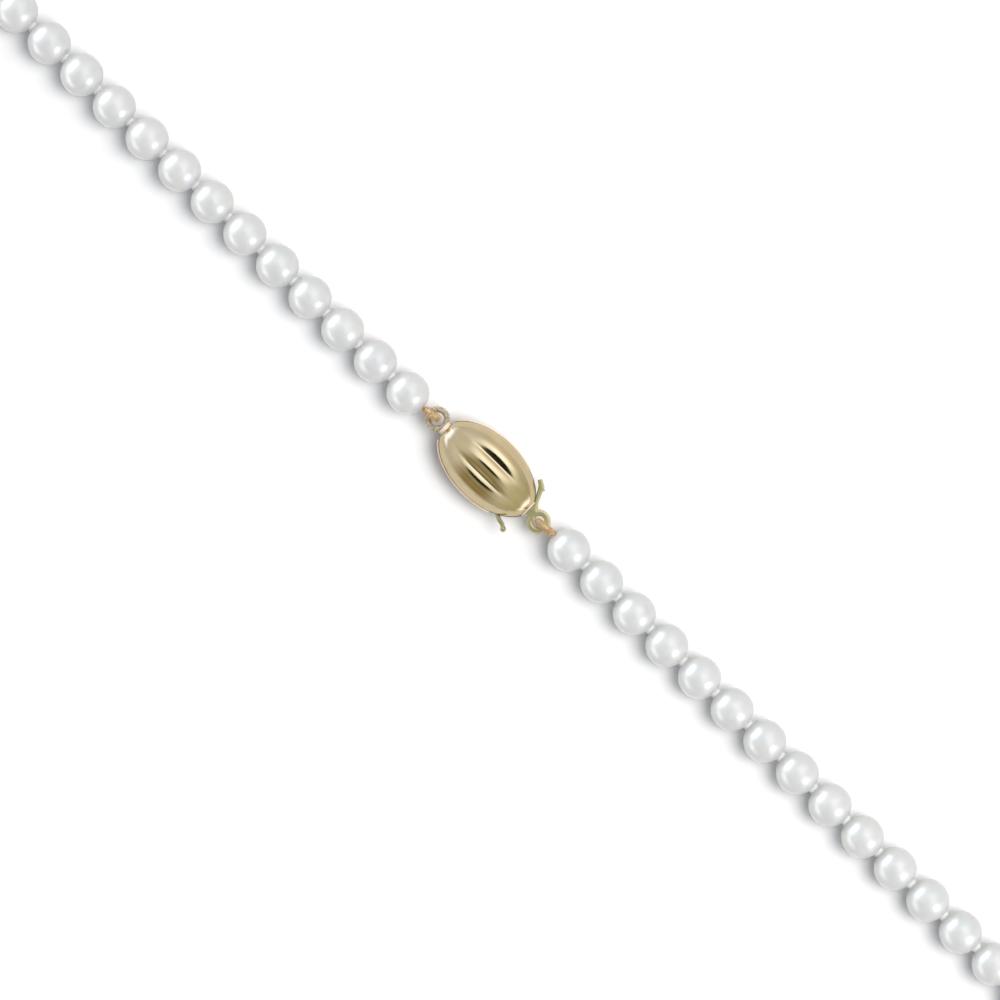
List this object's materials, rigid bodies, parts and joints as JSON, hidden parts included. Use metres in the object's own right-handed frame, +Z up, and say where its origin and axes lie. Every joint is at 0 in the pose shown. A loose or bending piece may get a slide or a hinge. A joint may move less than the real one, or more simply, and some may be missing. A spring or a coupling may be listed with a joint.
{
  "type": "pearl necklace",
  "caption": "Round white pearls knotted on silk in one strand, closed by a fluted gold oval clasp with a pull-out hook and a ball-ended release lever.",
  "frame": {"origin": "on the surface that the necklace lies on, under the middle of its whole outline", "axes": "+X along the straight stretch from the clasp's fixed eye to its hook; +Y from the wide arc towards the clasp; +Z up"},
  "size_m": [0.1908, 0.09, 0.005],
  "materials": {
    "pearl": "white nacre with a soft satin lustre and a faint rosy overtone",
    "silk": "twisted cream silk thread, knotted",
    "gimp": "coiled fine gold wire, warm and bright",
    "eye_ring": "pale gold ring with a fine granular surface",
    "green_gold": "polished pale greenish gold sheet",
    "yellow_gold": "mirror-polished pale yellow gold, stamped thin with lengthwise flutes"
  },
  "bodies": {
    "clasp": {"clasp_top_shell": "yellow_gold", "clasp_bottom_shell": "yellow_gold", "seam_rim": "yellow_gold", "end_collar": "yellow_gold", "eye_ring": "eye_ring", "catch_post": "green_gold"},
    "hook": {"hook_plate": "green_gold", "lever_rivet": "green_gold"},
    "lever": {"release_lever": "green_gold"},
    "left_strand_1": {"left_gimp_loop": "gimp", "left_pearl_01": "pearl", "left_pearl_02": "pearl", "left_pearl_03": "pearl", "left_pearl_04": "pearl", "left_pearl_05": "pearl", "left_pearl_06": "pearl", "left_pearl_07": "pearl", "left_pearl_08": "pearl", "left_pearl_09": "pearl", "left_pearl_10": "pearl", "left_pearl_11": "pearl", "left_pearl_12": "pearl", "left_pearl_13": "pearl", "left_pearl_14": "pearl", "left_silk_1_to_14": "silk"},
    "left_strand_2": {"left_pearls_15_to_20": "pearl"},
    "left_strand_3": {"left_pearls_21_to_26": "pearl"},
    "left_strand_4": {"left_pearls_27_to_36": "pearl"},
    "left_strand_5": {"left_pearls_37_to_46": "pearl"},
    "right_strand_1": {"right_gimp_loop": "gimp", "right_pearl_01": "pearl", "right_pearl_02": "pearl", "right_pearl_03": "pearl", "right_pearl_04": "pearl", "right_pearl_05": "pearl", "right_pearl_06": "pearl", "right_pearl_07": "pearl", "right_pearl_08": "pearl", "right_silk_1_to_8": "silk"},
    "right_strand_2": {"right_pearl_09": "pearl", "right_pearl_10": "pearl", "right_pearl_11": "pearl", "right_pearl_12": "pearl", "right_pearl_13": "pearl", "right_pearl_14": "pearl", "right_silk_9_to_14": "silk"},
    "right_strand_3": {"right_pearls_15_to_17": "pearl"},
    "right_strand_4": {"right_pearls_18_to_20": "pearl"},
    "right_strand_5": {"right_pearls_21_to_23": "pearl"},
    "right_strand_6": {"right_pearls_24_to_26": "pearl"},
    "right_strand_7": {"right_pearls_27_to_32": "pearl"},
    "right_strand_8": {"right_pearls_33_to_36": "pearl"},
    "right_strand_9": {"right_pearls_37_to_46": "pearl"}
  },
  "joints": [
    {"name": "hook_slide", "type": "slide", "parent": "clasp", "child": "hook", "axis": [1, 0, 0], "range_m": [0, 0.0085]},
    {"name": "release_lever_press", "type": "hinge", "parent": "hook", "child": "lever", "pos_m": [0.0025, 0.0412, 0.00225], "axis": [0, 0, 1], "range_deg": [0, 8], "stiffness_Nm_per_rad": 0.0005},
    {"name": "left_ring_swing", "type": "hinge", "parent": "clasp", "child": "left_strand_1", "pos_m": [-0.00755, 0.04135, 0.00225], "axis": [0, 0, 1], "range_deg": [-8, 5]},
    {"name": "left_knot_14", "type": "hinge", "parent": "left_strand_1", "child": "left_strand_2", "pos_m": [-0.07528, 0.04115, 0.00225], "axis": [0, 0, 1], "range_deg": [-4.17, 6.37]},
    {"name": "left_knot_20", "type": "hinge", "parent": "left_strand_2", "child": "left_strand_3", "pos_m": [-0.0933, 0.02315, 0.00225], "axis": [0, 0, 1], "range_deg": [-8.19, 5.3]},
    {"name": "left_knot_26", "type": "hinge", "parent": "left_strand_3", "child": "left_strand_4", "pos_m": [-0.08119, -0.00198, 0.00225], "axis": [0, 0, 1], "range_deg": [-12.6, 19.85]},
    {"name": "left_knot_36", "type": "hinge", "parent": "left_strand_4", "child": "left_strand_5", "pos_m": [-0.04545, -0.03206, 0.00225], "axis": [0, 0, 1], "range_deg": [-10.03, 6.46]},
    {"name": "right_ring_swing", "type": "hinge", "parent": "hook", "child": "right_strand_1", "pos_m": [0.00734, 0.04105, 0.00225], "axis": [0, 0, 1], "range_deg": [-5.49, 8.49]},
    {"name": "right_knot_8", "type": "hinge", "parent": "right_strand_1", "child": "right_strand_2", "pos_m": [0.047, 0.04115, 0.00225], "axis": [0, 0, 1], "range_deg": [-4.78, 0.5]},
    {"name": "right_knot_14", "type": "hinge", "parent": "right_strand_2", "child": "right_strand_3", "pos_m": [0.07528, 0.04115, 0.00225], "axis": [0, 0, 1], "range_deg": [-6.33, 4.14]},
    {"name": "right_knot_17", "type": "hinge", "parent": "right_strand_3", "child": "right_strand_4", "pos_m": [0.08802, 0.03588, 0.00225], "axis": [0, 0, 1], "range_deg": [-7.26, 0.5]},
    {"name": "right_knot_20", "type": "hinge", "parent": "right_strand_4", "child": "right_strand_5", "pos_m": [0.0933, 0.02315, 0.00225], "axis": [0, 0, 1], "range_deg": [-5.32, 8.21]},
    {"name": "right_knot_23", "type": "hinge", "parent": "right_strand_5", "child": "right_strand_6", "pos_m": [0.0888, 0.00993, 0.00225], "axis": [0, 0, 1], "range_deg": [-0.5, 5.91]},
    {"name": "right_knot_26", "type": "hinge", "parent": "right_strand_6", "child": "right_strand_7", "pos_m": [0.08119, -0.00198, 0.00225], "axis": [0, 0, 1], "range_deg": [-19.89, 12.62]},
    {"name": "right_knot_32", "type": "hinge", "parent": "right_strand_7", "child": "right_strand_8", "pos_m": [0.06141, -0.02206, 0.00225], "axis": [0, 0, 1], "range_deg": [-0.5, 6.13]},
    {"name": "right_knot_36", "type": "hinge", "parent": "right_strand_8", "child": "right_strand_9", "pos_m": [0.04545, -0.03206, 0.00225], "axis": [0, 0, 1], "range_deg": [-6.45, 10.02]}
  ],
  "couplings": [
    {"joint": "left_knot_14", "follows": "left_ring_swing", "ratio": -0.7337},
    {"joint": "left_knot_20", "follows": "left_ring_swing", "ratio": 0.9609},
    {"joint": "left_knot_26", "follows": "left_ring_swing", "ratio": -2.4189},
    {"joint": "left_knot_36", "follows": "left_ring_swing", "ratio": 1.1917},
    {"joint": "right_ring_swing", "follows": "left_ring_swing", "ratio": -0.9982},
    {"joint": "right_knot_8", "follows": "hook_slide", "rad_per_m": -8.79},
    {"joint": "right_knot_14", "follows": "left_ring_swing", "ratio": 0.7281},
    {"joint": "right_knot_17", "follows": "hook_slide", "rad_per_m": -13.879},
    {"joint": "right_knot_20", "follows": "left_ring_swing", "ratio": -0.9637},
    {"joint": "right_knot_23", "follows": "hook_slide", "rad_per_m": 11.102},
    {"joint": "right_knot_26", "follows": "left_ring_swing", "ratio": 2.4234},
    {"joint": "right_knot_32", "follows": "hook_slide", "rad_per_m": 11.567},
    {"joint": "right_knot_36", "follows": "left_ring_swing", "ratio": -1.1896}
  ]
}
